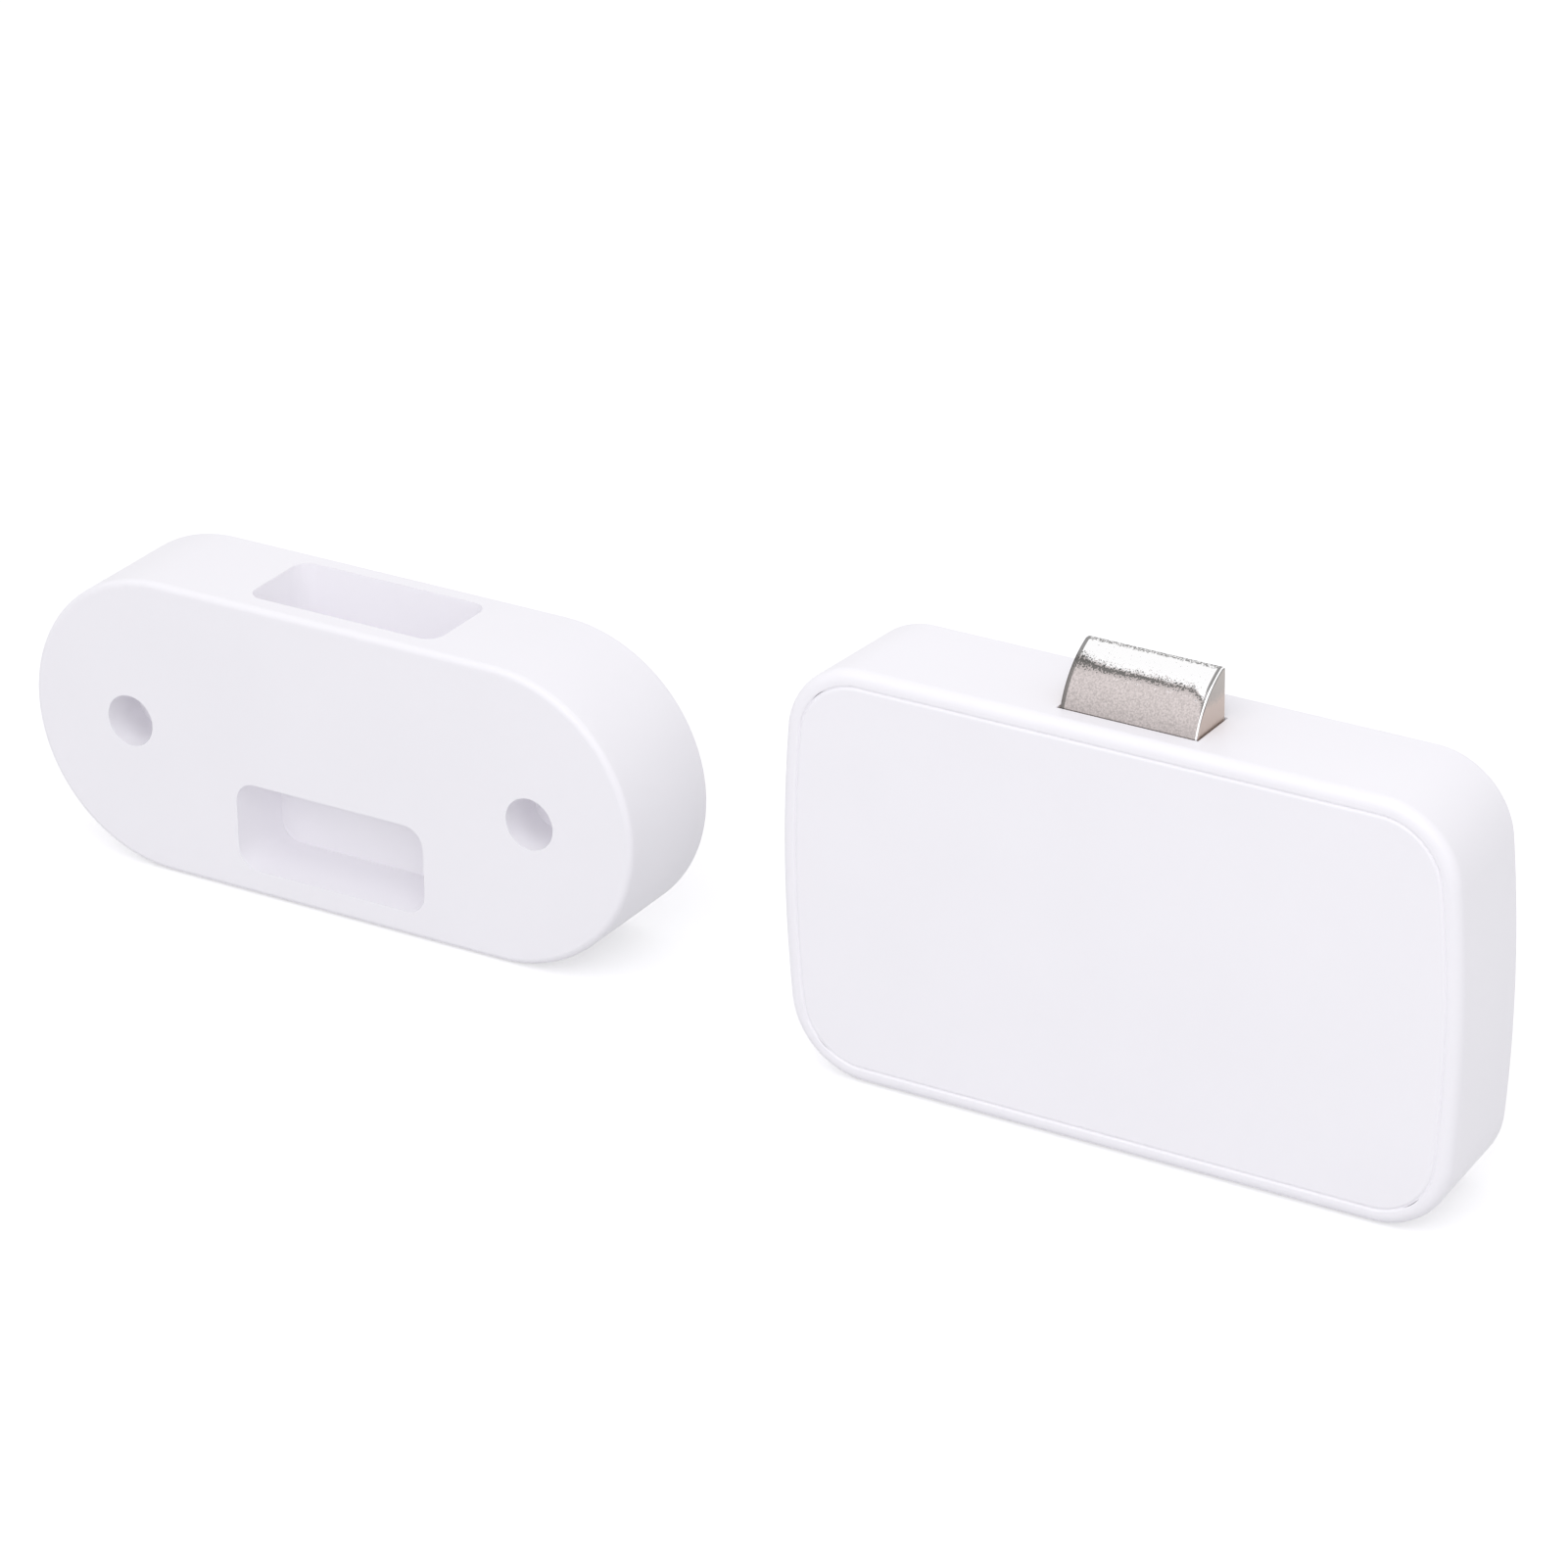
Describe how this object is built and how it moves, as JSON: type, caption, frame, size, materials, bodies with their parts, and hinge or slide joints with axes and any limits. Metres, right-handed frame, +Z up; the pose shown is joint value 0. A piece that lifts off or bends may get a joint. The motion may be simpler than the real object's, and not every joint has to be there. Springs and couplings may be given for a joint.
{
  "type": "drawer and cabinet lock",
  "caption": "Battery smart lock for a drawer or cabinet: sprung motor-drawn latch bolt in a framed white case, with its strike block.",
  "frame": {"origin": "centre of the lock's rear face, which lies on the panel", "axes": "+X along the lock, away from the strike; +Y into the panel, so the cover faces -Y; +Z up through the latch bolt"},
  "size_m": [0.2164, 0.0241, 0.0641],
  "materials": {
    "shell_white": "satin white moulding",
    "cover_white": "satin white moulding",
    "strike_white": "satin white moulding",
    "foam": "matt adhesive foam",
    "zinc_steel": "zinc plated sheet",
    "screw_steel": "plated steel",
    "shaft_steel": "ground steel",
    "motor_steel": "drawn nickel plated can",
    "dark_plastic": "matt black moulding",
    "contact_metal": "nickel plated strip",
    "rubber": "matt rubber",
    "cell_sleeve": "printed sleeve left plain",
    "spring_steel": "drawn wire",
    "board_green": "solder mask",
    "button_red": "moulded button",
    "shield_metal": "folded shield",
    "light_lens": "moulded lens",
    "bolt_metal": "satin nickel plated casting",
    "carriage_plastic": "grey acetal",
    "magnet_metal": "nickel plated",
    "gear_plastic": "natural acetal",
    "worm_brass": "turned brass"
  },
  "bodies": {
    "lock_case": {"case": "shell_white", "adhesive_pad": "foam", "mechanism_plate": "zinc_steel", "plate_screws": "screw_steel", "gear_pin": "shaft_steel", "motor_can": "motor_steel", "motor_cap": "dark_plastic", "motor_terminals": "contact_metal", "motor_cushion": "rubber", "battery_cell_left": "cell_sleeve", "battery_cell_right": "cell_sleeve", "battery_spring_left": "spring_steel", "battery_spring_right": "spring_steel", "contact_bridge": "contact_metal", "contact_negative": "contact_metal", "contact_positive": "contact_metal", "circuit_board": "board_green", "board_screws": "screw_steel", "buzzer": "dark_plastic", "pairing_switch": "dark_plastic", "radio_module": "shield_metal", "controller_chip": "dark_plastic", "hall_sensor": "dark_plastic", "status_light": "light_lens"},
    "lock_cover": {"front_cover": "cover_white"},
    "carriage": {"bolt_carriage": "carriage_plastic", "carriage_magnet": "magnet_metal", "latch_spring": "spring_steel"},
    "bolt": {"latch_bolt": "bolt_metal"},
    "gear": {"worm_wheel": "gear_plastic"},
    "worm_shaft": {"worm": "worm_brass", "motor_shaft": "shaft_steel"},
    "button": {"pairing_button": "button_red"},
    "strike": {"strike_body": "strike_white"}
  },
  "joints": [
    {"name": "motor_spin", "type": "hinge", "parent": "lock_case", "child": "worm_shaft", "pos_m": [0.02797, -0.0077, 0.0115], "axis": [0, 0, 1], "range_deg": [-2019.1, 0]},
    {"name": "gear_spin", "type": "hinge", "parent": "lock_case", "child": "gear", "pos_m": [0.01997, -0.0098, 0.0115], "axis": [0, 1, 0], "range_deg": [-101, 0]},
    {"name": "carriage_travel", "type": "slide", "parent": "lock_case", "child": "carriage", "axis": [0, 0, 1], "range_m": [-0.0074, 0]},
    {"name": "latch_push", "type": "slide", "parent": "carriage", "child": "bolt", "axis": [0, 0, 1], "range_m": [-0.007, 0], "stiffness_N_per_m": 150, "springref_m": 0.01, "deforming": ["latch_spring"]},
    {"name": "button_press", "type": "slide", "parent": "lock_case", "child": "button", "axis": [0, 1, 0], "range_m": [0, 0.0005], "stiffness_N_per_m": 800, "springref_m": -0.0005},
    {"name": "cover_off", "type": "slide", "parent": "lock_case", "child": "lock_cover", "axis": [0, -1, 0], "range_m": [0, 0.02]},
    {"name": "strike_set_apart", "type": "slide", "parent": "lock_case", "child": "strike", "axis": [-1, 0, 0], "range_m": [0, 0.05]}
  ],
  "couplings": [
    {"joint": "gear_spin", "follows": "carriage_travel", "rad_per_m": 238.1},
    {"joint": "motor_spin", "follows": "carriage_travel", "rad_per_m": 4761.9}
  ]
}
